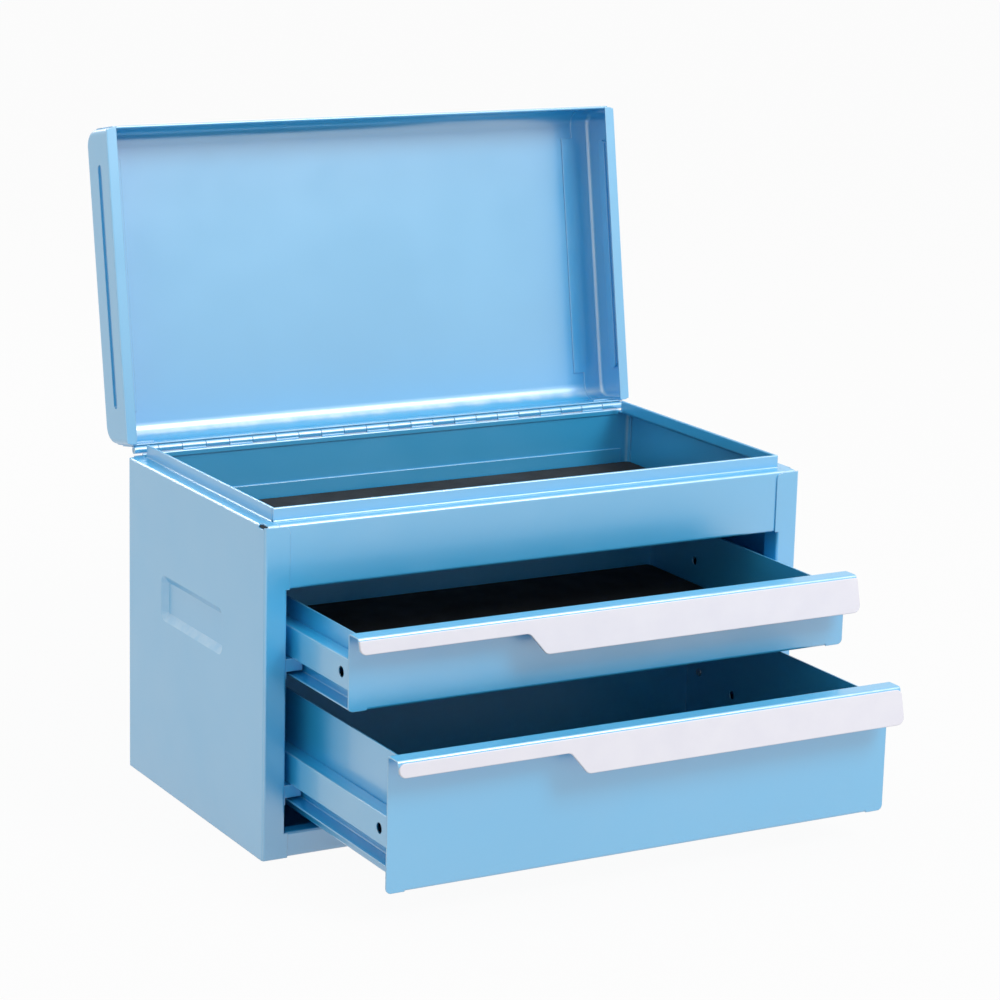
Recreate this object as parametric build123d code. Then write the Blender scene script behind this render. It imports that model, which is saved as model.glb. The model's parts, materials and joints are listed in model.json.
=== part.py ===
"""Portable sheet-steel tool box: lift-up lid over a lined well, two drawers below.

Frame: +Z up, the front faces -Y, +X is the viewer's right, the box stands on z = 0.
Everything is in millimetres.  The lid is built standing open and both drawers are
built partly pulled out, because that is the pose the joints call zero.
"""
import math
import os

from build123d import *

# ---- sheet metal -------------------------------------------------------------------
SHEET = 0.8                 # steel sheet used for every folded piece
BEND = 1.6                  # outside radius of a normal fold
TIGHT_BEND = 1.0            # outside radius of the crisp folds on rails and runners
FIT = 0.15                  # gap left where two sheets of one assembly meet edge-on
WELD = 1.0                  # sheets folded into one solid share this much
CUT = 5.0                   # cutters run this far past the sheet they trim

# ---- cabinet -----------------------------------------------------------------------
BODY_WIDTH = 340.0          # outside of one side panel to the outside of the other
BODY_DEPTH = 184.2          # front of the posts to the back of the rear flanges
BODY_HEIGHT = 185.5         # floor to the ledge round the well
REAR_BEND = 4.0             # softer fold down the rear vertical corners
POST_WIDTH = 13.4           # front flange of a side panel beside the drawers
POST_WIDTH_WIDE = 14.9      # the same flange where it laps the fascia and the rail
POST_RETURN = 12.2          # depth of the flange folded back behind a post
POST_CORNER = 4.0           # rounding of the post's upper inner corner
POST_NOTCH_GAP = 1.2        # returns of fascia and rail stop this far from a post's
REAR_FLANGE = 14.0
RELIEF_LENGTH = 8.0         # little slot where three folds meet at a corner
RELIEF_WIDTH = 2.8
RELIEF_INSET = 1.2          # side panel's face to the middle of that slot
RELIEF_DEPTH = 2.0
LEDGE_TURN = 4.0            # front end of the side ledge folded down behind the post

# ---- ledge and rim round the well ----------------------------------------------------
SIDE_LEDGE = 8.9            # width of the ledge outside the rim, at the sides
FRONT_LEDGE = 9.0           # the same at the front
LEDGE_REAR_GAP = 0.4        # the side ledge stops this far short of the back
RIM_HEIGHT = 7.5
RIM_THICK = 1.6             # the rim is hemmed double
REAR_RIM_GAP = 7.5          # the side rims stop this far short of the back

# ---- fascia, base rail, back, tray ---------------------------------------------------
FASCIA_TALL = 35.6          # ledge down to the fascia's lower edge
FASCIA_RETURN = 8.0
RAIL_TOP = 14.1
RAIL_RETURN = 9.0
BASE_UPTURN = 10.0
BACK_LIP = 1.2              # how far the back panel's hem stands above the ledge
BACK_HEM = 2.0              # how far the hem reaches down inside
BACK_FLANGE = 4.6           # back panel's sides folded forward along the side panels
TRAY_REAR_FLANGE = 10.0
TRAY_REAR_LAP = 6.0
TRAY_SIDE_FLANGE = 9.0
TRAY_NOTCH = 2.0            # rear flange stops this far inside the softer rear corner
LINER_THICK = 1.5
LINER_GAP = 1.0             # mats lie this far inside the sheet round them
LINER_CORNER = 3.0

# ---- pressed grip recess in each side ------------------------------------------------
RECESS_LENGTH = 82.4
RECESS_HEIGHT = 26.6
RECESS_DEPTH = 3.0
RECESS_SLOPE = 4.3          # how much each recess wall leans in over its depth
RECESS_Y = 2.1
RECESS_DROP = 71.4          # ledge down to the middle of the recess
RECESS_CORNER = 5.0

# ---- hinge ---------------------------------------------------------------------------
KNUCKLE_COUNT = 22
HINGE_END_INSET = 4.6       # side panel's face to the end of the row of knuckles
KNUCKLE_GAP = 0.3
KNUCKLE_RADIUS = 2.2
PIN_RADIUS = 1.0
PIN_CLEARANCE = 0.05
PIN_SHORT = 0.3             # each end of the pin stops inside its knuckle
PIN_DOME = 0.3
LEAF_THICK = 0.8
LEAF_HEIGHT = 14.0
LEAF_START = 0.6            # knuckle's top to the straight part of the leaf
LEAF_CLEARANCE = 0.3        # leaf's face to the other leaf's knuckles
LEAF_END_GAP = 1.0
AXIS_RISE = 2.8             # ledge up to the hinge pin
HINGE_RIVET_COUNT = 6       # through the lid's leaf; the body's leaf is welded on
HINGE_RIVET_INSET = 30.0    # side panel's face to the outermost rivet
HINGE_RIVET_REACH = 11.0    # pin to the row of rivets, along the leaf

# ---- lid (sizes when shut) -------------------------------------------------------------
LID_OPEN_ANGLE = 99.6
LID_TALL = 32.5             # rim to top, outside
LID_GAP = 0.5               # end caps over the ledge when shut
LID_REAR_GAP = 1.0          # rear wall's edge over the back panel's hem
LID_CORNER = 11.0
LID_WRAP_INSET = 4.2        # the folded wrap stops here; the caps' bends go on
LID_HEM = 8.0               # the front wall's open edge is folded back double
CAP_BEND = 3.5
CAP_FLANGE = 20.5           # depth of the end caps' flanges, from the outer face
CAP_STRIP = 6.7             # return strip along the caps' open edge
CAP_NOTCH_LONG = 18.0       # flanges stop this far short of the wrap's folds
CAP_NOTCH_TALL = 14.0
CAP_NOTCH_START = 2.2       # the cut over the hem starts this far inside the wrap's edge
CAP_NOTCH_REACH = 7.2       # depth of the corner notches, from the flanges' edge
CAP_RIM_BEND = 0.8          # crisp fold between a cap's face and its strip
GROOVE_END = 21.35          # lid's walls to the ends of the pressed groove
GROOVE_WIDTH = 5.0
GROOVE_DEPTH = 1.8
GROOVE_RISE = 13.5          # open edge to the middle of the groove

# ---- drawers ---------------------------------------------------------------------------
DRAWER_HEADROOM = 6.1       # fascia's lower edge to the top drawer
DRAWER_BETWEEN = 9.7        # top drawer to bottom drawer
DRAWER_FOOTROOM = 3.7       # base rail to the bottom drawer
TOP_DRAWER_TALL = 42.3      # the bottom drawer takes the rest of the height
TOP_WALL_DROP = 5.2         # top flange down to the pan's wall
BOTTOM_WALL_DROP = 4.6
BOTTOM_LEDGE_RISE = 40.0    # bottom drawer's lower edge to its rails' top
FRONT_INSET = 15.0          # side panel's face to the end of a drawer front
PAN_INSET = 26.2            # side panel's face to a drawer pan
DRAWER_REAR_GAP = 3.0       # shut drawer's back to the back of the cabinet
FRONT_CORNER = 3.0
FRONT_RETURN = 6.5          # lower edge folded back under the pan
FRONT_RETURN_INSET = 10.8   # end of the front to the end of that return
FRONT_RETURN_TALL = 6.0
FRONT_FLANGE = 9.5          # how far the top flange stands forward
LIP_LENGTH = 6.2
LIP_LEAN = 13.6             # degrees the lip and the pull lean forward
PULL_THICK = 1.2
PULL_NARROW = 7.3
PULL_WIDE = 19.2
PULL_STEP_X = -51.0
PULL_STEP_RUN = 9.0
PULL_STEP_RADIUS = 4.0
PULL_END_RADIUS = 4.5
TOP_PULL_CORNER = 1.2       # upper right corner of the top drawer's pull
BOTTOM_PULL_CORNER = 3.2
PULL_EDGE = 0.4
PULL_TOP_DROP = 0.9         # top of the white pull below the blue flange
PAN_RAISE = 2.2             # pan floor underside above the front's lower edge
PAN_TAB = 8.0               # front tabs of the pan, welded behind the front
PAN_TAB_DROP = 1.0
TOP_PULLED = 69.1           # how far the top drawer stands out of the cabinet
BOTTOM_PULLED = 113.9
FULL_TRAVEL = 132.0         # shut to the stop lugs

# ---- drawer rails and cabinet runners ------------------------------------------------
RAIL_INSET = 17.0           # side panel's face to the outer face of a drawer rail
RAIL_TALL = 27.1            # top ledge to the underside of the lower flange
RAIL_HAT = 17.2             # top ledge to the underside of the hat
RAIL_FLANGE = 9.0           # flange that lies on the pan's wall
RAIL_FRONT_GAP = 0.4
RUN_CLEARANCE = 0.15        # hat underside over the runner's tongue
RUNNER_INSET = 23.6         # side panel's face to the tip of the runner's tongue
RUNNER_HEM = 3.6
RUNNER_WEB = 11.0
RUNNER_FRONT_GAP = 1.0
RUNNER_TAB = 12.0           # lap of the runner's rear tab along its web
RUNNER_TAB_INSET = 5.0      # rear tab's end from the side panel
RUNNER_TAB_DROP = 1.4
STOP_TAB = 7.0              # height of the tab that the stop lug meets
STOP_LUG = 5.0              # height of the lug that ends the travel
STOP_LUG_GAP = 0.6
HOLE_RADIUS = 3.0
HOLE_SETBACK = 12.5         # rail access hole behind the drawer front
HOLE_DROP = 8.6
WALL_HOLE_RADIUS = 2.4
WALL_HOLE_FROM_REAR = 48.6  # hole through the pan's wall, from the drawer's back
WALL_HOLE_DROP = 9.5

# ---- rivets ----------------------------------------------------------------------------
RIVET_HEAD = 2.4
RIVET_HEAD_TALL = 0.9
RIVET_DOME = 0.6
RIVET_SHANK = 1.5
RAIL_RIVET_DROP = 5.0
RAIL_RIVET_SETBACK = 26.0   # front rivet behind the drawer front
RAIL_RIVET_FROM_REAR = 13.5
RUNNER_RIVET_INSET = 8.5
RUNNER_RIVET_DROP = 7.8     # runner's tongue down to its rear rivet

# ---- places that follow from the sizes above -------------------------------------------
HALF_WIDTH = BODY_WIDTH / 2
FRONT_Y = -BODY_DEPTH / 2
REAR_Y = BODY_DEPTH / 2
WALL_INNER = HALF_WIDTH - SHEET
POST_INNER = HALF_WIDTH - POST_WIDTH
SKIN_FRONT = FRONT_Y + SHEET            # fascia and base rail sit behind the posts
BACK_OUTER = REAR_Y - SHEET             # back panel sits inside the rear flanges
BACK_INNER = BACK_OUTER - SHEET
RIM_OUTER = HALF_WIDTH - SIDE_LEDGE
RIM_TOP = BODY_HEIGHT + RIM_HEIGHT
FRONT_RIM_Y = FRONT_Y + FRONT_LEDGE
FASCIA_BOTTOM = BODY_HEIGHT - FASCIA_TALL
TRAY_FLOOR = FASCIA_BOTTOM + SHEET      # the tray sits on the fascia's return
KNUCKLE_PITCH = (BODY_WIDTH - 2 * HINGE_END_INSET) / KNUCKLE_COUNT
AXIS_Y = BACK_OUTER + KNUCKLE_RADIUS + LEAF_CLEARANCE
AXIS_Z = BODY_HEIGHT + AXIS_RISE
LID_RIM = BODY_HEIGHT + LID_GAP
LID_REAR = BACK_OUTER
LID_FRONT = FRONT_Y                     # the shut lid is flush with the cabinet all round
LID_DEPTH = LID_REAR - LID_FRONT
LID_TOP = LID_RIM + LID_TALL
LID_REAR_EDGE = BODY_HEIGHT + BACK_LIP + LID_REAR_GAP
LID_WRAP_HALF = HALF_WIDTH - LID_WRAP_INSET
CAP_FLANGE_GAP = LID_HEM + 1.0          # flanges stand clear of the hem
FRONT_HALF = HALF_WIDTH - FRONT_INSET
FRONT_RETURN_HALF = FRONT_HALF - FRONT_RETURN_INSET
PAN_HALF = HALF_WIDTH - PAN_INSET
RAIL_HALF = HALF_WIDTH - RAIL_INSET
RUNNER_TIP = HALF_WIDTH - RUNNER_INSET
RUNNER_FRONT = SKIN_FRONT + RUNNER_FRONT_GAP
DRAWER_LENGTH = BODY_DEPTH - DRAWER_REAR_GAP
TOP_HIGH = FASCIA_BOTTOM - DRAWER_HEADROOM
TOP_LOW = TOP_HIGH - TOP_DRAWER_TALL
TOP_LEDGE = TOP_LOW + RAIL_TALL         # the rails end level with the drawer's edge
BOTTOM_HIGH = TOP_LOW - DRAWER_BETWEEN
BOTTOM_LOW = RAIL_TOP + DRAWER_FOOTROOM
BOTTOM_LEDGE = BOTTOM_LOW + BOTTOM_LEDGE_RISE

PARTS = {}


# ---- shared helpers --------------------------------------------------------------------
def unit(a, b):
    """Unit vector and length from a to b, in a flat sketch."""
    dx = b[0] - a[0]
    dy = b[1] - a[1]
    length = math.hypot(dx, dy)
    return dx / length, dy / length, length


def fold_edges(path, offset):
    """Lines and arcs of one face of a folded sheet, shifted right by offset.

    Each path point is (u, v) or (u, v, radius); the radius belongs to the unshifted face.
    """
    edges = []
    start = None
    for index, point in enumerate(path):
        if 0 < index < len(path) - 1:
            ax, ay, _ = unit(path[index - 1], point)
            bx, by, _ = unit(point, path[index + 1])
            radius = point[2] if len(point) > 2 else BEND
            cross = ax * by - ay * bx
            half = math.acos(max(-1.0, min(1.0, ax * bx + ay * by))) / 2
            reach = radius * math.tan(half)
            entry = (point[0] - ax * reach + ay * offset, point[1] - ay * reach - ax * offset)
            leave = (point[0] + bx * reach + by * offset, point[1] + by * reach - bx * offset)
            side = 1.0 if cross > 0 else -1.0
            centre = (point[0] - ax * reach - ay * radius * side,
                      point[1] - ay * reach + ax * radius * side)
            mx, my, _ = unit(centre, point)
            shifted = radius + side * offset
            middle = (centre[0] + mx * shifted, centre[1] + my * shifted)
            edges.append(Edge.make_line((*start, 0), (*entry, 0)))
            edges.append(Edge.make_three_point_arc((*entry, 0), (*middle, 0), (*leave, 0)))
            start = leave
            continue
        if index == 0:
            dx, dy, _ = unit(point, path[1])
            start = (point[0] + dy * offset, point[1] - dx * offset)
        else:
            dx, dy, _ = unit(path[index - 1], point)
            end = (point[0] + dy * offset, point[1] - dx * offset)
            edges.append(Edge.make_line((*start, 0), (*end, 0)))
    return edges


def fold_face(path, thick):
    """Cross-section of a sheet folded along path, its metal on the right of the path."""
    near = fold_edges(path, 0.0)
    far = fold_edges(path, thick)
    head = Edge.make_line(near[0] @ 0, far[0] @ 0)
    tail = Edge.make_line(near[-1] @ 1, far[-1] @ 1)
    return Face(Wire([*near, tail, *far, head]))


def along_y(path, y0, y1, thick=SHEET):
    """Folded sheet whose path is (x, z), running from y0 to y1."""
    plane = Plane(origin=(0, y1, 0), x_dir=(1, 0, 0), z_dir=(0, -1, 0))
    return extrude(plane * fold_face(path, thick), amount=y1 - y0, dir=(0, -1, 0))


def along_x(path, x0, x1, thick=SHEET):
    """Folded sheet whose path is (y, z), running from x0 to x1."""
    plane = Plane(origin=(x0, 0, 0), x_dir=(0, 1, 0), z_dir=(1, 0, 0))
    return extrude(plane * fold_face(path, thick), amount=x1 - x0, dir=(1, 0, 0))


def along_z(path, z0, z1, thick=SHEET):
    """Folded sheet whose path is (x, y), running from z0 to z1."""
    return extrude(Plane.XY.offset(z0) * fold_face(path, thick), amount=z1 - z0, dir=(0, 0, 1))


def block(x0, x1, y0, y1, z0, z1):
    """Box between two corners."""
    centre = Pos((x0 + x1) / 2, (y0 + y1) / 2, (z0 + z1) / 2)
    return centre * Box(abs(x1 - x0), abs(y1 - y0), abs(z1 - z0))


def rod(x, y, z, radius, length, axis):
    """Cylinder starting at a point and running along +axis."""
    turn = {"X": Rot(0, 90, 0), "Y": Rot(-90, 0, 0), "Z": Rot(0, 0, 0)}[axis]
    bar = Cylinder(radius, length, align=(Align.CENTER, Align.CENTER, Align.MIN))
    return Pos(x, y, z) * turn * bar


def mirrored(shape):
    """The same piece for the other side of the box."""
    return mirror(shape, about=Plane.YZ)


def round_hem(shape, axis, thick, low_end=False):
    """Round the folded edge of a hem that runs along an axis."""
    edges = shape.edges().filter_by(axis).group_by(Axis.Z)
    folded = edges[0] if low_end else edges[-1]
    return fillet(folded, thick / 2 - 0.02)


def add(name, shape):
    """Keep one named piece for export."""
    PARTS[name] = shape


# ---- cabinet -----------------------------------------------------------------------------
def recess_block(grow, depth):
    """Tapered block of the grip recess, its wide face on the left outside."""
    centre = (-HALF_WIDTH, RECESS_Y, BODY_HEIGHT - RECESS_DROP)
    plane = Plane(origin=centre, x_dir=(0, 1, 0), z_dir=(1, 0, 0))
    taper = math.degrees(math.atan(RECESS_SLOPE / RECESS_DEPTH))
    outline = RectangleRounded(RECESS_LENGTH + grow, RECESS_HEIGHT + grow, RECESS_CORNER + grow / 2)
    return extrude(plane * outline, amount=depth, taper=taper)


def side_ledge():
    """Left wall with its ledge and the hemmed rim beside the well."""
    out = -HALF_WIDTH
    rim = -RIM_OUTER
    path = [
        (out, 0),
        (out, BODY_HEIGHT),
        (rim, BODY_HEIGHT, SHEET),
        (rim, RIM_TOP - WELD),
    ]
    ledge = along_y(path, SKIN_FRONT + BEND, REAR_Y - REAR_BEND)
    rear_rim = REAR_Y - REAR_RIM_GAP
    front_rim = FRONT_RIM_Y + RIM_THICK + FIT
    # the ledge runs on to the back, but the rim stands only beside the well
    for y0, y1 in ((FRONT_Y - CUT, front_rim), (rear_rim, REAR_Y + CUT)):
        ledge -= block(rim, rim + CUT, y0, y1, BODY_HEIGHT - CUT, RIM_TOP + CUT)
        ledge -= block(rim - CUT, rim + CUT, y0, y1, BODY_HEIGHT, RIM_TOP + CUT)
    hem = block(rim, rim + RIM_THICK, front_rim, rear_rim, BODY_HEIGHT + WELD, RIM_TOP)
    tail = block(out + REAR_BEND, rim, REAR_Y - REAR_BEND - WELD, REAR_Y - LEDGE_REAR_GAP,
                 BODY_HEIGHT - SHEET, BODY_HEIGHT)
    turn_path = [
        (SKIN_FRONT, BODY_HEIGHT - LEDGE_TURN),
        (SKIN_FRONT, BODY_HEIGHT),
        (SKIN_FRONT + LEDGE_TURN, BODY_HEIGHT),
    ]
    turn = along_x(turn_path, out + BEND, rim)
    return ledge + round_hem(hem, Axis.Y, RIM_THICK) + tail + turn


def side_panel():
    """Left side panel: wall, ledge and rim, front post, rear flange, pressed recess."""
    out = -HALF_WIDTH
    panel = side_ledge()
    rear = [(out, REAR_Y, REAR_BEND), (out + REAR_FLANGE, REAR_Y)]
    post = [(out + POST_WIDTH, FRONT_Y + POST_RETURN), (out + POST_WIDTH, FRONT_Y), (out, FRONT_Y)]
    wide = [(out + POST_WIDTH_WIDE, FRONT_Y), (out, FRONT_Y)]
    panel += along_z(wide + rear, 0, RAIL_TOP)
    panel += along_z(post + rear, RAIL_TOP, FASCIA_BOTTOM)
    head = along_z(wide + rear, FASCIA_BOTTOM, BODY_HEIGHT - SHEET)
    corner = head.edges().filter_by(Axis.Y).group_by(Axis.X)[-1]
    corner = corner.filter_by_position(Axis.Y, FRONT_Y - SHEET, FRONT_Y + SHEET).sort_by(Axis.Z)[-1]
    panel += fillet(corner, POST_CORNER)
    slot = Plane.XY.offset(BODY_HEIGHT - RELIEF_DEPTH) * Pos(
        out + RELIEF_INSET, FRONT_Y + SHEET + RELIEF_LENGTH / 2)
    panel -= extrude(slot * Rot(0, 0, 90) * SlotOverall(RELIEF_LENGTH, RELIEF_WIDTH), amount=CUT)
    void = recess_block(0, RECESS_DEPTH)
    skin = recess_block(2 * SHEET, RECESS_DEPTH + SHEET) - void
    return panel - void + skin


def fascia():
    """Front skin over the drawers: return, face, ledge and hemmed front rim."""
    path = [
        (SKIN_FRONT + FASCIA_RETURN, FASCIA_BOTTOM),
        (SKIN_FRONT, FASCIA_BOTTOM),
        (SKIN_FRONT, BODY_HEIGHT),
        (FRONT_RIM_Y, BODY_HEIGHT, SHEET),
        (FRONT_RIM_Y, RIM_TOP - WELD),
    ]
    half = RIM_OUTER - FIT
    skin = along_x(path, -half, half)
    hem = block(-half, half, FRONT_RIM_Y, FRONT_RIM_Y + RIM_THICK, BODY_HEIGHT + WELD, RIM_TOP)
    skin += round_hem(hem, Axis.X, RIM_THICK)
    notch = POST_INNER - POST_NOTCH_GAP
    for side in (-1, 1):
        skin -= block(side * notch, side * (half + CUT), SKIN_FRONT + 2 * BEND,
                      SKIN_FRONT + FASCIA_RETURN + CUT, FASCIA_BOTTOM - CUT, FASCIA_BOTTOM + BEND)
    return skin


def back_panel():
    """Back sheet folded forward along the side panels, with a hemmed lip under the hinge."""
    bend = REAR_BEND - SHEET + FIT
    path = [
        (-WALL_INNER, BACK_OUTER - BACK_FLANGE),
        (-WALL_INNER, BACK_OUTER, bend),
        (WALL_INNER, BACK_OUTER, bend),
        (WALL_INNER, BACK_OUTER - BACK_FLANGE),
    ]
    sheet = along_z(path, FIT, BODY_HEIGHT - SHEET - FIT)
    lip_half = RIM_OUTER - FIT
    lip = block(-lip_half, lip_half, BACK_INNER - SHEET, BACK_OUTER, BODY_HEIGHT - BACK_HEM,
                BODY_HEIGHT + BACK_LIP)
    return sheet + round_hem(lip, Axis.X, 2 * SHEET)


def base_pan():
    """Bottom sheet with its front rail and inward return, and low upturns round the rest."""
    inner_front = SKIN_FRONT + SHEET
    inner_rear = BACK_INNER - SHEET
    path = [
        (SKIN_FRONT + RAIL_RETURN, RAIL_TOP - SHEET),
        (inner_front, RAIL_TOP - SHEET, SHEET),
        (inner_front, SHEET, SHEET),
        (inner_rear, SHEET, SHEET),
        (inner_rear, BASE_UPTURN),
    ]
    half = WALL_INNER - SHEET - FIT
    pan = along_x(path, -half, half)
    side_path = [
        (WALL_INNER, BASE_UPTURN),
        (WALL_INNER, 0),
        (-WALL_INNER, 0),
        (-WALL_INNER, BASE_UPTURN),
    ]
    pan += along_y(side_path, FRONT_Y + 2 * BEND, REAR_Y - REAR_BEND - BEND)
    notch = POST_INNER - POST_NOTCH_GAP
    for side in (-1, 1):
        pan -= block(side * notch, side * WALL_INNER, SKIN_FRONT + BEND, FRONT_Y + POST_RETURN + BEND,
                     RAIL_TOP - BEND, RAIL_TOP + CUT)
        pan -= block(side * (WALL_INNER - REAR_BEND), side * (WALL_INNER + CUT), inner_rear - 2 * BEND,
                     BACK_OUTER, -CUT, BASE_UPTURN + CUT)
    return pan


def tray():
    """Floor of the well: sides folded down, rear edge folded up."""
    top = TRAY_FLOOR + SHEET
    half = WALL_INNER
    side_path = [
        (-half, top - TRAY_SIDE_FLANGE),
        (-half, top),
        (half, top),
        (half, top - TRAY_SIDE_FLANGE),
    ]
    front = SKIN_FRONT + BEND + FIT
    floor = along_y(side_path, front, BACK_OUTER - BACK_FLANGE - FIT)
    post = POST_INNER - POST_NOTCH_GAP
    for side in (-1, 1):
        floor = floor - block(side * post, side * (half + CUT), front - CUT,
                              FRONT_Y + POST_RETURN + POST_NOTCH_GAP, top - TRAY_SIDE_FLANGE - CUT,
                              top + CUT)
    rear_path = [
        (BACK_INNER, top + TRAY_REAR_FLANGE),
        (BACK_INNER, TRAY_FLOOR),
        (BACK_INNER - TRAY_REAR_LAP, TRAY_FLOOR),
    ]
    rear_half = half - REAR_BEND - TRAY_NOTCH
    return floor + along_x(rear_path, -rear_half, rear_half)


def tray_liner():
    """Loose black mat on the floor of the well."""
    base = TRAY_FLOOR + SHEET
    half = WALL_INNER - LINER_GAP
    post_rear = FRONT_Y + POST_RETURN
    mat = block(-half, half, post_rear + LINER_GAP, BACK_INNER - SHEET - BEND, base,
                base + LINER_THICK)
    mat = fillet(mat.edges().filter_by(Axis.Z), LINER_CORNER)
    between = POST_INNER - 2 * LINER_GAP
    tongue = block(-between, between, SKIN_FRONT + BEND + LINER_GAP, post_rear + 2 * LINER_GAP,
                   base, base + LINER_THICK)
    return mat + tongue


# ---- hinge -------------------------------------------------------------------------------
def knuckle_spans(first):
    """Start and end of every second knuckle, from the given index."""
    left = -KNUCKLE_COUNT * KNUCKLE_PITCH / 2
    spans = []
    for index in range(first, KNUCKLE_COUNT, 2):
        start = left + index * KNUCKLE_PITCH + KNUCKLE_GAP / 2
        spans.append((start, start + KNUCKLE_PITCH - KNUCKLE_GAP))
    return spans


def hinge_leaf(first, half, sign):
    """One hinge leaf; sign +1 stands up from the knuckles, -1 hangs down."""
    near = AXIS_Z + sign * (KNUCKLE_RADIUS + LEAF_START)
    far = near + sign * LEAF_HEIGHT
    face = AXIS_Y - KNUCKLE_RADIUS - LEAF_CLEARANCE
    leaf = block(-half, half, face, face + LEAF_THICK, near, far)
    neck = AXIS_Z + sign * PIN_RADIUS
    for start, end in knuckle_spans(first):
        leaf += rod(start, AXIS_Y, AXIS_Z, KNUCKLE_RADIUS, end - start, "X")
        low = max(start, -half)
        high = min(end, half)
        leaf += block(low, high, face, face + LEAF_THICK, neck, near + sign * LEAF_START)
    bore = BODY_WIDTH
    return leaf - rod(-bore / 2, AXIS_Y, AXIS_Z, PIN_RADIUS + PIN_CLEARANCE, bore, "X")


def hinge_pin():
    """Straight pin through all knuckles, its ends slightly domed."""
    length = KNUCKLE_COUNT * KNUCKLE_PITCH - 2 * PIN_SHORT
    pin = rod(-length / 2, AXIS_Y, AXIS_Z, PIN_RADIUS, length, "X")
    return fillet(pin.edges(), PIN_DOME)


def rivet(x, y, z, axis, depth):
    """Round-headed rivet: head proud of a face at the point, shank running back along axis."""
    head = Cylinder(RIVET_HEAD, RIVET_HEAD_TALL, align=(Align.CENTER, Align.CENTER, Align.MIN))
    head = fillet(head.edges().sort_by(Axis.Z)[-1], RIVET_DOME)
    shank = Cylinder(RIVET_SHANK, depth, align=(Align.CENTER, Align.CENTER, Align.MAX))
    turn = {"X": Rot(0, 90, 0), "Y": Rot(-90, 0, 0)}
    return Pos(x, y, z) * turn[axis] * (head + shank)


def lid_rivets():
    """A row of evenly spaced rivets through the lid's hinge leaf and rear wall."""
    reach = HALF_WIDTH - HINGE_RIVET_INSET
    step = 2 * reach / (HINGE_RIVET_COUNT - 1)
    row = []
    for index in range(HINGE_RIVET_COUNT):
        row.append(rivet(-reach + index * step, LID_REAR + LEAF_THICK, AXIS_Z + HINGE_RIVET_REACH,
                         "Y", 2 * SHEET))
    return row


# ---- lid (drawn shut, then swung open) -----------------------------------------------------
def lid_open(shape):
    """Swing a lid piece from shut to its open stop."""
    axis = Axis((0, AXIS_Y, AXIS_Z), (-1, 0, 0))
    return shape.rotate(axis, LID_OPEN_ANGLE)


def lid_wrap():
    """One sheet folded into front wall, top and rear wall, hemmed along the front."""
    path = [
        (LID_FRONT, LID_RIM + SHEET),
        (LID_FRONT, LID_TOP, LID_CORNER),
        (LID_REAR, LID_TOP, LID_CORNER),
        (LID_REAR, LID_REAR_EDGE),
    ]
    wrap = along_x(path, -LID_WRAP_HALF, LID_WRAP_HALF)
    half = LID_WRAP_HALF - CAP_NOTCH_START - FIT
    hem = block(-half, half, LID_FRONT, LID_FRONT + 2 * SHEET, LID_RIM, LID_RIM + LID_HEM)
    return wrap + round_hem(hem, Axis.X, 2 * SHEET, low_end=True)


def cap_outline(inset):
    """Closed end outline of the lid, set in from the wrap's outside by inset."""
    width = LID_DEPTH - 2 * inset
    plane = Plane(origin=(-HALF_WIDTH, LID_FRONT + inset, LID_RIM), x_dir=(0, 1, 0), z_dir=(1, 0, 0))
    height = LID_TALL - inset
    box = Pos(width / 2, height / 2) * Rectangle(width, height)
    top = box.vertices().group_by(Axis.Y)[-1]
    return plane, fillet(top, LID_CORNER - inset)


def cap_pan(inset, bend):
    """Solid of an end cap's outline with its outer edge bent over."""
    plane, outline = cap_outline(inset)
    solid = extrude(plane * outline, amount=CAP_FLANGE, dir=(1, 0, 0))
    bent = [e for e in solid.edges().group_by(Axis.X)[0] if (e @ 0.5).Z > LID_RIM + FIT]
    return fillet(bent, bend)


def end_cap():
    """Left end cap: pressed pan with a flange inside the wrap and a strip along the rim."""
    cap = cap_pan(SHEET, CAP_BEND) - Pos(SHEET, 0, 0) * cap_pan(2 * SHEET, CAP_BEND - SHEET)
    cap += block(-HALF_WIDTH + SHEET / 2, -HALF_WIDTH + CAP_STRIP, LID_FRONT + 2 * SHEET,
                 LID_REAR - 2 * SHEET, LID_RIM, LID_RIM + SHEET)
    fold_x = -HALF_WIDTH + CAP_RIM_BEND
    fold_z = LID_RIM + CAP_RIM_BEND
    edge = block(-HALF_WIDTH - CUT, fold_x, LID_FRONT, LID_REAR, LID_RIM - CUT, fold_z)
    cap -= edge - rod(fold_x, LID_FRONT, fold_z, CAP_RIM_BEND, LID_DEPTH, "Y")
    # flanges stop short of the wrap's folds and of the open edge
    notch = -LID_WRAP_HALF + CAP_NOTCH_START
    inside = -HALF_WIDTH + CAP_FLANGE + CUT
    corner = -HALF_WIDTH + CAP_FLANGE - CAP_NOTCH_REACH
    for y0, y1 in ((LID_FRONT, LID_FRONT + CAP_NOTCH_LONG), (LID_REAR - CAP_NOTCH_LONG, LID_REAR)):
        cap -= block(corner, inside, y0, y1, LID_TOP - CAP_NOTCH_TALL, LID_TOP)
    cap -= block(notch, inside, LID_FRONT, LID_REAR, LID_RIM - CUT, LID_RIM + CAP_FLANGE_GAP)
    centre = (-HALF_WIDTH, (LID_FRONT + LID_REAR) / 2, LID_RIM + GROOVE_RISE)
    plane = Plane(origin=centre, x_dir=(0, 1, 0), z_dir=(1, 0, 0))
    length = LID_DEPTH - 2 * GROOVE_END
    groove = extrude(plane * SlotOverall(length, GROOVE_WIDTH), amount=GROOVE_DEPTH)
    pressed = SlotOverall(length + 2 * SHEET, GROOVE_WIDTH + 2 * SHEET)
    return cap + extrude(plane * pressed, amount=GROOVE_DEPTH + SHEET) - groove


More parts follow.
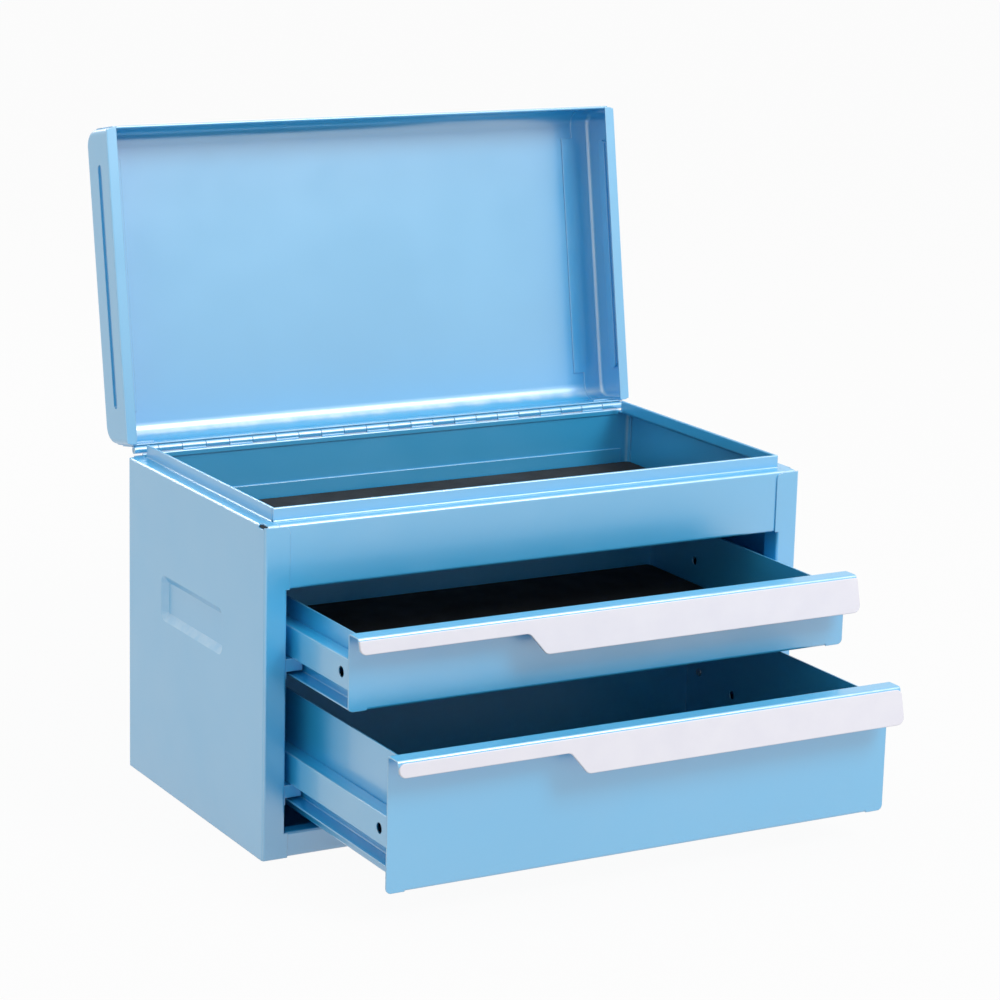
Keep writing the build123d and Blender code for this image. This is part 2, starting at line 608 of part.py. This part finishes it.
# ---- drawers --------------------------------------------------------------------------------
def drawer_front(y_front, z_low, z_high):
    """Drawer front: lower return, face, forward top flange and leaning lip."""
    lean = math.radians(LIP_LEAN)
    under = z_high - SHEET
    fold_y = y_front - FRONT_FLANGE
    path = [
        (y_front, z_low),
        (y_front, under, SHEET),
        (fold_y, under, SHEET),
        (fold_y - math.sin(lean) * LIP_LENGTH, under - math.cos(lean) * LIP_LENGTH),
    ]
    front = along_x(path, -FRONT_HALF, FRONT_HALF)
    corners = front.edges().filter_by(Axis.Y).group_by(Axis.Z)[0]
    front = fillet(corners, FRONT_CORNER)
    front -= block(-FRONT_RETURN_HALF, FRONT_RETURN_HALF, y_front - SHEET, y_front + 2 * SHEET,
                   z_low - CUT, z_low + FRONT_RETURN_TALL - WELD)
    return_path = [
        (y_front + FRONT_RETURN, z_low),
        (y_front, z_low),
        (y_front, z_low + FRONT_RETURN_TALL),
    ]
    return front + along_x(return_path, -FRONT_RETURN_HALF, FRONT_RETURN_HALF)


def pull_sketch(round_end, corner):
    """Outline of a pull: a narrow strip that steps down to a wide one on the right."""
    half = FRONT_HALF
    step0 = PULL_STEP_X - PULL_STEP_RUN / 2
    step1 = PULL_STEP_X + PULL_STEP_RUN / 2
    points = [
        (-half, 0),
        (-half, -PULL_NARROW),
        (step0, -PULL_NARROW),
        (step1, -PULL_WIDE),
        (half, -PULL_WIDE),
        (half, 0),
    ]
    sketch = make_face(Polyline(*points, close=True))
    left = sketch.vertices().group_by(Axis.X)[0].sort_by(Axis.Y)
    end_radius = PULL_NARROW / 2 - 0.05
    sketch = fillet(left if round_end else left[0], end_radius)
    steps = sketch.vertices().filter_by_position(Axis.X, step0 - FIT, step1 + FIT)
    sketch = fillet(steps, PULL_STEP_RADIUS)
    right = sketch.vertices().group_by(Axis.X)[-1].sort_by(Axis.Y)
    sketch = fillet(right[0], PULL_END_RADIUS)
    right = sketch.vertices().group_by(Axis.X)[-1].sort_by(Axis.Y)
    return fillet(right[-1], corner)


def pull(y_front, z_high, round_end, corner):
    """White pull plate on the leaning lip of a drawer front."""
    lean = math.radians(LIP_LEAN)
    lip_y = y_front - FRONT_FLANGE - SHEET * math.cos(lean)
    lip_z = z_high - SHEET + SHEET * math.sin(lean)
    out = (0, -math.cos(lean), math.sin(lean))
    origin = (0, lip_y - math.sin(lean) * PULL_TOP_DROP, lip_z - math.cos(lean) * PULL_TOP_DROP)
    plane = Plane(origin=origin, x_dir=(1, 0, 0), z_dir=out)
    plate = extrude(plane * pull_sketch(round_end, corner), amount=PULL_THICK)
    face = plate.faces().sort_by(Axis(origin, out))[-1]
    return fillet(face.edges(), PULL_EDGE)


def drawer_pan(y_front, z_floor, z_top):
    """Drawer pan: floor and two sides from one sheet, a back, and two front tabs."""
    front = y_front + SHEET
    rear = y_front + DRAWER_LENGTH
    path = [
        (PAN_HALF, z_top),
        (PAN_HALF, z_floor),
        (-PAN_HALF, z_floor),
        (-PAN_HALF, z_top),
    ]
    pan = along_y(path, front, rear)
    inner = PAN_HALF - SHEET
    pan += block(-inner, inner, rear - SHEET, rear, z_floor + SHEET / 2, z_top)
    for side in (-1, 1):
        pan += block(side * (inner + SHEET / 2), side * (inner - PAN_TAB), front, front + SHEET,
                     z_floor + SHEET + BEND, z_top - PAN_TAB_DROP)
    return pan


def drawer_liner(y_front, z_floor):
    """Loose black mat on a drawer's floor."""
    base = z_floor + SHEET
    inner = PAN_HALF - SHEET - BEND
    mat = block(-inner, inner, y_front + 2 * SHEET + LINER_GAP,
                y_front + DRAWER_LENGTH - SHEET - LINER_GAP, base, base + LINER_THICK)
    return fillet(mat.edges().filter_by(Axis.Z), LINER_CORNER)


def lug_y(y_front):
    """Front face of the stop lug; it meets the runner's stop tab at full travel."""
    tab_back = RUNNER_FRONT + SHEET
    return y_front - FRONT_Y + tab_back + FULL_TRAVEL + RUN_CLEARANCE


def rail(y_front, z_ledge):
    """Left drawer rail: hat-shaped runner with a lower flange and a stop lug."""
    low = z_ledge - RAIL_TALL
    hat = z_ledge - RAIL_HAT
    path = [
        (PAN_HALF, z_ledge - RAIL_FLANGE),
        (PAN_HALF, z_ledge, TIGHT_BEND),
        (RAIL_HALF, z_ledge, TIGHT_BEND),
        (RAIL_HALF, hat, TIGHT_BEND),
        (PAN_HALF + SHEET, hat, SHEET),
        (PAN_HALF + SHEET, low + SHEET, SHEET),
        (RAIL_HALF, low + SHEET),
    ]
    front = y_front + SHEET + RAIL_FRONT_GAP
    bar = mirrored(along_y(path, front, y_front + DRAWER_LENGTH))
    stop_y = lug_y(y_front)
    bar += block(-PAN_HALF - SHEET, -RAIL_HALF + STOP_LUG_GAP, stop_y, stop_y + SHEET,
                 low + SHEET / 2, low + SHEET + STOP_LUG)
    return bar - rod(-RAIL_HALF - CUT / 2, y_front + HOLE_SETBACK, z_ledge - HOLE_DROP, HOLE_RADIUS,
                     CUT, "X")


def rail_rivets(y_front, z_ledge):
    """Rivets through the rail's inner flange and the pan wall, both sides."""
    group = []
    for offset in (RAIL_RIVET_SETBACK, DRAWER_LENGTH - RAIL_RIVET_FROM_REAR):
        one = rivet(-PAN_HALF + SHEET, y_front + offset, z_ledge - RAIL_RIVET_DROP, "X", 2 * SHEET)
        group += [one, mirrored(one)]
    return group


def drawer(prefix, pulled, z_low, z_high, z_wall, z_ledge, round_end, corner):
    """Every piece of one drawer."""
    y_front = FRONT_Y - pulled
    floor = z_low + PAN_RAISE
    hole_y = y_front + DRAWER_LENGTH - WALL_HOLE_FROM_REAR
    reach = PAN_HALF + 2 * SHEET
    hole = rod(-reach, hole_y, z_ledge - WALL_HOLE_DROP, WALL_HOLE_RADIUS, 2 * reach, "X")
    pan = drawer_pan(y_front, floor, z_wall) - hole
    left = rail(y_front, z_ledge) - hole
    rivets = rail_rivets(y_front, z_ledge)
    for one in rivets:
        pan -= one
        left -= one
    add(prefix + "_front", drawer_front(y_front, z_low, z_high))
    add(prefix + "_pull", pull(y_front, z_high, round_end, corner))
    add(prefix + "_pan", pan)
    add(prefix + "_rail_left", left)
    add(prefix + "_rail_right", mirrored(left))
    add(prefix + "_rivets", Compound(children=rivets))
    add(prefix + "_liner", drawer_liner(y_front, floor))


# ---- cabinet runners ----------------------------------------------------------------------
def tongue_z(z_ledge):
    """Top of the runner that carries the rail with this ledge."""
    return z_ledge - RAIL_HAT - RUN_CLEARANCE


def runner(z_ledge):
    """Left cabinet runner: web on the post return, tongue under the hat, rear tab, stop tab."""
    web_in = -POST_INNER + SHEET
    tongue = tongue_z(z_ledge)
    path = [
        (-POST_INNER, tongue - RUNNER_WEB),
        (-POST_INNER, tongue, TIGHT_BEND),
        (-RUNNER_TIP, tongue, TIGHT_BEND),
        (-RUNNER_TIP, tongue - RUNNER_HEM),
    ]
    bar = along_y(path, RUNNER_FRONT, BACK_INNER - SHEET)
    tab_path = [
        (-WALL_INNER + RUNNER_TAB_INSET, BACK_INNER),
        (web_in, BACK_INNER, TIGHT_BEND),
        (web_in, BACK_INNER - RUNNER_TAB),
    ]
    tab = along_z(tab_path, tongue - RUNNER_WEB, tongue - RUNNER_TAB_DROP)
    stop = block(web_in - SHEET / 2, -RUNNER_TIP, RUNNER_FRONT, RUNNER_FRONT + SHEET,
                 tongue - STOP_TAB, tongue - SHEET / 2)
    return bar + tab + stop


def runner_rivets():
    """Rivets holding the runners' rear tabs to the back panel and the rear flanges."""
    group = []
    for z_ledge in (TOP_LEDGE, BOTTOM_LEDGE):
        z = tongue_z(z_ledge) - RUNNER_RIVET_DROP
        tail = rivet(-WALL_INNER + RUNNER_RIVET_INSET, REAR_Y, z, "Y", 3 * SHEET)
        group += [tail, mirrored(tail)]
    return group


# ---- assembly --------------------------------------------------------------------------------
def build_cabinet():
    """Every fixed piece."""
    left = side_panel()
    back = back_panel()
    leaf = hinge_leaf(0, HALF_WIDTH - REAR_FLANGE - FIT, -1)
    holders = runner_rivets()
    for one in holders:
        back -= one
        left -= one
    add("side_panel_left", left)
    add("side_panel_right", mirrored(left))
    add("back_panel", back)
    add("base_pan", base_pan())
    add("front_fascia", fascia())
    add("tray_floor", tray())
    add("tray_liner", tray_liner())
    for name, z_ledge in (("top", TOP_LEDGE), ("bottom", BOTTOM_LEDGE)):
        bar = runner(z_ledge)
        for one in holders:
            bar -= one
        add("runner_" + name + "_left", bar)
        add("runner_" + name + "_right", mirrored(bar))
    add("runner_rivets", Compound(children=holders))
    add("hinge_leaf_body", leaf)
    add("hinge_pin", hinge_pin())


def build_lid():
    """Every piece that swings with the lid."""
    wrap = lid_wrap()
    leaf = hinge_leaf(1, LID_WRAP_HALF - LEAF_END_GAP, 1)
    rivets = lid_rivets()
    for one in rivets:
        wrap -= one
        leaf -= one
    cap = end_cap()
    add("lid_wrap", lid_open(wrap))
    add("lid_end_left", lid_open(cap))
    add("lid_end_right", lid_open(mirrored(cap)))
    add("hinge_leaf_lid", lid_open(leaf))
    add("hinge_rivets_lid", lid_open(Compound(children=rivets)))


def main():
    build_cabinet()
    build_lid()
    drawer("drawer_top", TOP_PULLED, TOP_LOW, TOP_HIGH, TOP_HIGH - TOP_WALL_DROP, TOP_LEDGE,
           False, TOP_PULL_CORNER)
    drawer("drawer_bottom", BOTTOM_PULLED, BOTTOM_LOW, BOTTOM_HIGH, BOTTOM_HIGH - BOTTOM_WALL_DROP,
           BOTTOM_LEDGE, True, BOTTOM_PULL_CORNER)
    os.makedirs("parts", exist_ok=True)
    for name, shape in PARTS.items():
        export_step(shape, f"parts/{name}.step")


main()
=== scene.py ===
"""Looks of the two-drawer sheet-steel tool box: finishes, floor, studio light and camera.

Metres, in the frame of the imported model: +Z up, the front faces -Y.
"""
import json
import math

import bpy
from mathutils import Euler, Matrix

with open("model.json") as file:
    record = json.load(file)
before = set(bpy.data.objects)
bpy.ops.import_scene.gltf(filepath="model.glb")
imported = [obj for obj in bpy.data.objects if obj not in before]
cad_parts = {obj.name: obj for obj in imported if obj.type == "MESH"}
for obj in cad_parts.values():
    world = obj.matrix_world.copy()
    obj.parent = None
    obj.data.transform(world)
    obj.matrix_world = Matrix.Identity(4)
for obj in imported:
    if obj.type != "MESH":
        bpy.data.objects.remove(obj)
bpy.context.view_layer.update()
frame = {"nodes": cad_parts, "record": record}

# ---- camera, solved from the corners of the box -----------------------------------------
CAMERA_PLACE = (-0.8525, -1.5150, 0.5800)
CAMERA_AZIMUTH = -28.18      # degrees round the box, from straight ahead
CAMERA_ELEVATION = 13.31     # degrees the view looks down
CAMERA_ROLL = 1.08           # degrees
FOCAL_SHARE = 3.098          # focal length over the width of the image
OPTICAL_AXIS = (0.400, 0.490)  # where the optical axis meets the image, from its upper left
SENSOR = 36.0                # mm

# ---- light ------------------------------------------------------------------------------
WORLD_STRENGTH = 0.63        # on the object; camera and reflections see plain white
FLOOR_GLOW = 0.95            # how much of the floor camera and reflections see as plain white
FLOOR_REACH = 30.0           # half the floor's width
FLOOR_ROUGHNESS = 0.9
FLOOR_SPECULAR = 0.1
LAMP_AIM = (0.0, -0.03, 0.16)
# name, place, size, watts: high in front to the right, overhead, and high behind, where
# it draws bright lines along the upper folds
LAMPS = (
    ("key", (0.80, -1.50, 1.60), (0.8, 0.8), 21.0),
    ("top", (0.0, -0.10, 1.70), (1.6, 1.1), 4.0),
    ("rim", (-0.30, 1.55, 1.05), (0.5, 0.4), 6.0),
)

# ---- colours (linear) -------------------------------------------------------------------
BLUE = (0.020, 0.440, 0.810)
BLUE_PALE = (0.028, 0.455, 0.830)
# pale blue of the painted highlight along folds and edges
BLUE_EDGE_HIGHLIGHT = (0.60, 0.82, 0.95)
WHITE = (0.84, 0.83, 0.90)
WHITE_DUSTY = (0.81, 0.80, 0.88)
MAT = (0.010, 0.010, 0.011)
MAT_WORN = (0.026, 0.025, 0.025)
ZINC = (0.62, 0.63, 0.64)
ZINC_DULL = (0.45, 0.46, 0.48)
FLOOR = (0.55, 0.55, 0.55)

# ---- wavelengths of the finishes' textures, in metres -----------------------------------
PAINT_CLOUD = 0.11           # slow drift of the blue
PAINT_PATCH = 0.03           # duller and glossier patches
PAINT_HIGHLIGHT_PATCH = 0.012            # patches in which the painted highlight along the folds is stronger or weaker
ORANGE_PEEL = 0.0011
PULL_PEEL = 0.00088
PULL_DUST = 0.018
PULL_PATCH = 0.025
SHEET_WAVE = 0.16            # slow waviness of large sheets
MAT_RUB = 0.035
MAT_PEBBLE = 0.0007
MAT_PORE = 0.000245
ZINC_SPANGLE = 0.0012
ZINC_PATCH = 0.002
ZINC_GRAIN = 0.0004

# ---- depths and reaches of the finishes, in metres --------------------------------------
WAVE_DEPTH = 0.0006
PEEL_DEPTH = 0.00003
PEBBLE_DEPTH = 0.00018
PORE_DEPTH = 0.00005
GRAIN_DEPTH = 0.00001
EDGE_RADIUS = 0.0006         # how far the rounded normal and the painted highlight along edges reach from a folded or cut edge
ZINC_EDGE_RADIUS = 0.00036
BEVEL_SAMPLES = 6

# ---- gloss ------------------------------------------------------------------------------
# roughness from glossier to duller patches; below 0.275 such patches show as outlined specks
PAINT_ROUGHNESS = (0.29, 0.37)
PULL_ROUGHNESS = (0.40, 0.50)
MAT_ROUGHNESS = (0.82, 0.68)  # smoother where it is rubbed
ZINC_ROUGHNESS = (0.29, 0.42)
PAINT_IOR = 3.0              # gives the blue its strong pearly sheen
PULL_IOR = 1.5
MAT_IOR = 1.45
CLEAR_COAT = 0.5
CLEAR_COAT_ROUGHNESS = 0.10

# ---- masks ------------------------------------------------------------------------------
NOISE_RANGE = (0.3, 0.7)     # noise seldom leaves this range
EDGE_TURN = (0.70, 0.98)     # rounded normal along the true one: at an edge, on a face
FOLD_TURN = (0.74, 0.93)     # largest share of the normal along one axis: in a fold, on a face
FOLD_UPWARD = (-0.15, 0.30)  # normal's rise, from folds that stay blue to upward folds that get a painted highlight
HIGHLIGHT_SHARE = (0.25, 0.75)     # how far the painted highlight along edges goes towards the pale blue


# ---- material helpers -------------------------------------------------------------------
class Nodes:
    """A new material's node tree with short ways to add and join nodes."""

    def __init__(self, name):
        self.material = bpy.data.materials.new(name)
        self.material.use_nodes = True
        self.tree = self.material.node_tree
        self.shader = self.tree.nodes["Principled BSDF"]
        coordinates = self.new("ShaderNodeTexCoord")
        self.place = coordinates.outputs["Object"]
        self.facing = coordinates.outputs["Normal"]

    def new(self, kind):
        return self.tree.nodes.new(kind)

    def join(self, source, target):
        self.tree.links.new(source, target)

    def noise(self, wavelength, detail=2.0, roughness=0.5, stretch=(1, 1, 1)):
        """Noise whose grains are about a wavelength across."""
        scale = self.new("ShaderNodeMapping")
        scale.inputs["Scale"].default_value = stretch
        self.join(self.place, scale.inputs["Vector"])
        grain = self.new("ShaderNodeTexNoise")
        grain.inputs["Scale"].default_value = 1.0 / wavelength
        grain.inputs["Detail"].default_value = detail
        grain.inputs["Roughness"].default_value = roughness
        self.join(scale.outputs["Vector"], grain.inputs["Vector"])
        return grain.outputs["Fac"]

    def cells(self, wavelength, feature="F1"):
        """Distance to the middle of cells about a wavelength across."""
        grain = self.new("ShaderNodeTexVoronoi")
        grain.feature = feature
        grain.inputs["Scale"].default_value = 1.0 / wavelength
        self.join(self.place, grain.inputs["Vector"])
        return grain.outputs["Distance"]

    def ramp(self, factor, source, target=(0.0, 1.0)):
        """Map factor from the source range to the target range, clamped."""
        span = self.new("ShaderNodeMapRange")
        span.inputs["From Min"].default_value = source[0]
        span.inputs["From Max"].default_value = source[1]
        span.inputs["To Min"].default_value = target[0]
        span.inputs["To Max"].default_value = target[1]
        self.join(factor, span.inputs["Value"])
        return span.outputs["Result"]

    def mix(self, factor, first, second):
        """Colour mix; first and second are colours or sockets."""
        blend = self.new("ShaderNodeMix")
        blend.data_type = "RGBA"
        self.join(factor, blend.inputs["Factor"])
        for value, socket in ((first, blend.inputs["A"]), (second, blend.inputs["B"])):
            if isinstance(value, tuple):
                socket.default_value = (*value, 1)
            else:
                self.join(value, socket)
        return blend.outputs["Result"]

    def combine(self, operation, first, second):
        """Two numbers joined by a math operation."""
        result = self.new("ShaderNodeMath")
        result.operation = operation
        self.join(first, result.inputs[0])
        self.join(second, result.inputs[1])
        return result.outputs["Value"]

    def bump(self, height, depth, strength=1.0, below=None):
        """Normal lifted by a height texture, over the normal below it."""
        lift = self.new("ShaderNodeBump")
        lift.inputs["Strength"].default_value = strength
        lift.inputs["Distance"].default_value = depth
        self.join(height, lift.inputs["Height"])
        if below is not None:
            self.join(below, lift.inputs["Normal"])
        return lift.outputs["Normal"]

    def axes(self, vector):
        """The vector's X, Y and Z."""
        split = self.new("ShaderNodeSeparateXYZ")
        self.join(vector, split.inputs["Vector"])
        return [split.outputs[name] for name in "XYZ"]

    def rounded(self, radius):
        """Normal of the surface with its sharp edges rounded off."""
        bevel = self.new("ShaderNodeBevel")
        bevel.samples = BEVEL_SAMPLES
        bevel.inputs["Radius"].default_value = radius
        return bevel.outputs["Normal"]

    def edge_mask(self, rounded):
        """One along sharp edges, zero on open faces."""
        surface = self.new("ShaderNodeNewGeometry")
        product = self.new("ShaderNodeVectorMath")
        product.operation = "DOT_PRODUCT"
        self.join(rounded, product.inputs[0])
        self.join(surface.outputs["Normal"], product.inputs[1])
        return self.ramp(product.outputs["Value"], EDGE_TURN, (1.0, 0.0))

    def fold_highlight_mask(self):
        """Rises where the sheet turns from one flat face to the next, most where it faces up: it
        places a painted highlight where overhead light would catch the folds.
        """
        size = self.new("ShaderNodeVectorMath")
        size.operation = "ABSOLUTE"
        self.join(self.facing, size.inputs[0])
        along_x, along_y, along_z = self.axes(size.outputs["Vector"])
        largest = self.combine("MAXIMUM", self.combine("MAXIMUM", along_x, along_y), along_z)
        turning = self.ramp(largest, FOLD_TURN, (1.0, 0.0))
        upward = self.ramp(self.axes(self.facing)[2], FOLD_UPWARD)
        return self.combine("MULTIPLY", turning, upward)

    def finish(self, **values):
        """Set or join the shader's sockets; an underscore stands for a space in a name."""
        for socket, value in values.items():
            target = self.shader.inputs[socket.replace("_", " ")]
            if hasattr(value, "is_output"):
                self.join(value, target)
            else:
                target.default_value = value
        return self.material


# ---- finishes ---------------------------------------------------------------------------
def blue_paint():
    """Satin powder coat with a pearly sheen and slight orange peel, with a painted highlight of
    pale blue along folded and cut edges, strongest on upward folds.
    """
    n = Nodes("blue_powder_coat")
    rounded = n.rounded(EDGE_RADIUS)
    body = n.mix(n.ramp(n.noise(PAINT_CLOUD, detail=3), NOISE_RANGE), BLUE, BLUE_PALE)
    # painted highlight: pale blue along edges and upward folds, stronger in some patches than in
    # others
    highlight_patches = n.ramp(n.noise(PAINT_HIGHLIGHT_PATCH, detail=4), (0.35, 0.65), HIGHLIGHT_SHARE)
    edges = n.combine("MAXIMUM", n.edge_mask(rounded), n.fold_highlight_mask())
    colour = n.mix(n.combine("MULTIPLY", edges, highlight_patches), body, BLUE_EDGE_HIGHLIGHT)
    slow = n.bump(n.noise(SHEET_WAVE, detail=1), WAVE_DEPTH, strength=0.35, below=rounded)
    fine = n.bump(n.noise(ORANGE_PEEL, detail=2), PEEL_DEPTH, strength=0.30, below=slow)
    rough = n.ramp(n.noise(PAINT_PATCH, detail=4), NOISE_RANGE, PAINT_ROUGHNESS)
    return n.finish(Base_Color=colour, Roughness=rough, Normal=fine, IOR=PAINT_IOR,
                    Coat_Weight=CLEAR_COAT, Coat_Roughness=CLEAR_COAT_ROUGHNESS)


def white_paint():
    """Satin white powder coat of the pulls, faintly rubbed where fingers go."""
    n = Nodes("white_powder_coat")
    colour = n.mix(n.ramp(n.noise(PULL_DUST, detail=4), (0.35, 0.7)), WHITE, WHITE_DUSTY)
    rounded = n.rounded(EDGE_RADIUS)
    fine = n.bump(n.noise(PULL_PEEL, detail=2), PEEL_DEPTH, strength=0.35, below=rounded)
    rough = n.ramp(n.noise(PULL_PATCH, detail=4), NOISE_RANGE, PULL_ROUGHNESS)
    return n.finish(Base_Color=colour, Roughness=rough, Normal=fine, IOR=PULL_IOR)


def foam_mat():
    """Black foam mat: pebbled skin, greyer where it has been rubbed."""
    n = Nodes("black_foam_mat")
    rubbed = n.ramp(n.noise(MAT_RUB, detail=5, roughness=0.6), (0.40, 0.75))
    colour = n.mix(rubbed, MAT, MAT_WORN)
    pebbles = n.bump(n.cells(MAT_PEBBLE, "SMOOTH_F1"), PEBBLE_DEPTH, strength=0.6)
    skin = n.bump(n.noise(MAT_PORE, detail=2), PORE_DEPTH, strength=0.5, below=pebbles)
    rough = n.ramp(rubbed, (0.0, 1.0), MAT_ROUGHNESS)
    return n.finish(Base_Color=colour, Roughness=rough, Normal=skin, IOR=MAT_IOR)


def zinc_steel():
    """Zinc-plated rivets and pin with a faint turned grain."""
    n = Nodes("zinc_steel")
    colour = n.mix(n.ramp(n.cells(ZINC_SPANGLE), (0.2, 0.8)), ZINC, ZINC_DULL)
    turned = n.noise(ZINC_GRAIN, detail=2, stretch=(0.15, 1, 1))
    grain = n.bump(turned, GRAIN_DEPTH, strength=0.4, below=n.rounded(ZINC_EDGE_RADIUS))
    rough = n.ramp(n.noise(ZINC_PATCH, detail=3), NOISE_RANGE, ZINC_ROUGHNESS)
    return n.finish(Base_Color=colour, Roughness=rough, Normal=grain, Metallic=1.0)


def dress():
    """Give every node the finish of its slot in the record."""
    finishes = {
        "blue_paint": blue_paint(),
        "pull_white": white_paint(),
        "mat": foam_mat(),
        "steel": zinc_steel(),
    }
    for part in frame["record"]["subparts"]:
        node = frame["nodes"][part["node"]]
        node.data.materials.clear()
        node.data.materials.append(finishes[part["material_slot"]])


# ---- floor and light --------------------------------------------------------------------
def seen_directly(tree):
    """One for rays that should see plain white: from the camera, a reflection or glass."""
    path = tree.nodes.new("ShaderNodeLightPath")
    total = path.outputs["Is Camera Ray"]
    for name in ("Is Glossy Ray", "Is Transmission Ray"):
        larger = tree.nodes.new("ShaderNodeMath")
        larger.operation = "MAXIMUM"
        tree.links.new(total, larger.inputs[0])
        tree.links.new(path.outputs[name], larger.inputs[1])
        total = larger.outputs["Value"]
    return total


def make_world():
    """Even light on the object, plain white to the camera and in reflections."""
    world = bpy.data.worlds.new("studio")
    bpy.context.scene.world = world
    world.use_nodes = True
    tree = world.node_tree
    background = tree.nodes["Background"]
    background.inputs["Color"].default_value = (1, 1, 1, 1)
    strength = tree.nodes.new("ShaderNodeMapRange")
    strength.inputs["To Min"].default_value = WORLD_STRENGTH
    strength.inputs["To Max"].default_value = 1.0
    tree.links.new(seen_directly(tree), strength.inputs["Value"])
    tree.links.new(strength.outputs["Result"], background.inputs["Strength"])


def floor_paper():
    """Matt paper that glows plain white to the camera, all but the share that takes a shadow."""
    material = bpy.data.materials.new("floor_paper")
    material.use_nodes = True
    tree = material.node_tree
    shader = tree.nodes["Principled BSDF"]
    shader.inputs["Base Color"].default_value = (*FLOOR, 1)
    shader.inputs["Roughness"].default_value = FLOOR_ROUGHNESS
    shader.inputs["Specular IOR Level"].default_value = FLOOR_SPECULAR
    glow = tree.nodes.new("ShaderNodeEmission")
    glow.inputs["Strength"].default_value = 1.0
    share = tree.nodes.new("ShaderNodeMath")
    share.operation = "MULTIPLY"
    share.inputs[1].default_value = FLOOR_GLOW
    tree.links.new(seen_directly(tree), share.inputs[0])
    both = tree.nodes.new("ShaderNodeMixShader")
    tree.links.new(share.outputs["Value"], both.inputs["Fac"])
    tree.links.new(shader.outputs["BSDF"], both.inputs[1])
    tree.links.new(glow.outputs["Emission"], both.inputs[2])
    tree.links.new(both.outputs["Shader"], tree.nodes["Material Output"].inputs["Surface"])
    return material


def make_floor():
    mesh = bpy.data.meshes.new("floor")
    ends = (-FLOOR_REACH, FLOOR_REACH)
    corners = [(x, y, 0) for x in ends for y in ends]
    mesh.from_pydata(corners, [], [(0, 2, 3, 1)])
    mesh.materials.append(floor_paper())
    floor = bpy.data.objects.new("floor", mesh)
    bpy.context.collection.objects.link(floor)


def softbox(name, place, size, power):
    """Rectangular area light that faces the middle of the box."""
    data = bpy.data.lights.new(name, "AREA")
    data.shape = "RECTANGLE"
    data.size = size[0]
    data.size_y = size[1]
    data.energy = power
    lamp = bpy.data.objects.new(name, data)
    bpy.context.collection.objects.link(lamp)
    lamp.location = place
    direction = [a - p for a, p in zip(LAMP_AIM, place)]
    length = math.sqrt(sum(d * d for d in direction))
    yaw = math.atan2(direction[1], direction[0]) - math.pi / 2
    pitch = math.asin(direction[2] / length)
    lamp.rotation_euler = (math.pi / 2 + pitch, 0, yaw)


def make_lights():
    for name, place, size, power in LAMPS:
        softbox(name, place, size, power)


# ---- camera -----------------------------------------------------------------------------
def make_camera():
    data = bpy.data.cameras.new("camera")
    data.sensor_width = SENSOR
    data.lens = SENSOR * FOCAL_SHARE
    data.shift_x = 0.5 - OPTICAL_AXIS[0]
    data.shift_y = OPTICAL_AXIS[1] - 0.5
    camera = bpy.data.objects.new("camera", data)
    bpy.context.collection.objects.link(camera)
    camera.location = CAMERA_PLACE
    pitch = math.radians(90 - CAMERA_ELEVATION)
    tilt = Euler((pitch, 0, math.radians(CAMERA_AZIMUTH))).to_matrix()
    roll = Matrix.Rotation(math.radians(CAMERA_ROLL), 3, "Z")
    camera.rotation_euler = (tilt @ roll).to_euler()
    bpy.context.scene.camera = camera


dress()
make_world()
make_floor()
make_lights()
make_camera()
bpy.context.scene.view_settings.view_transform = "Standard"
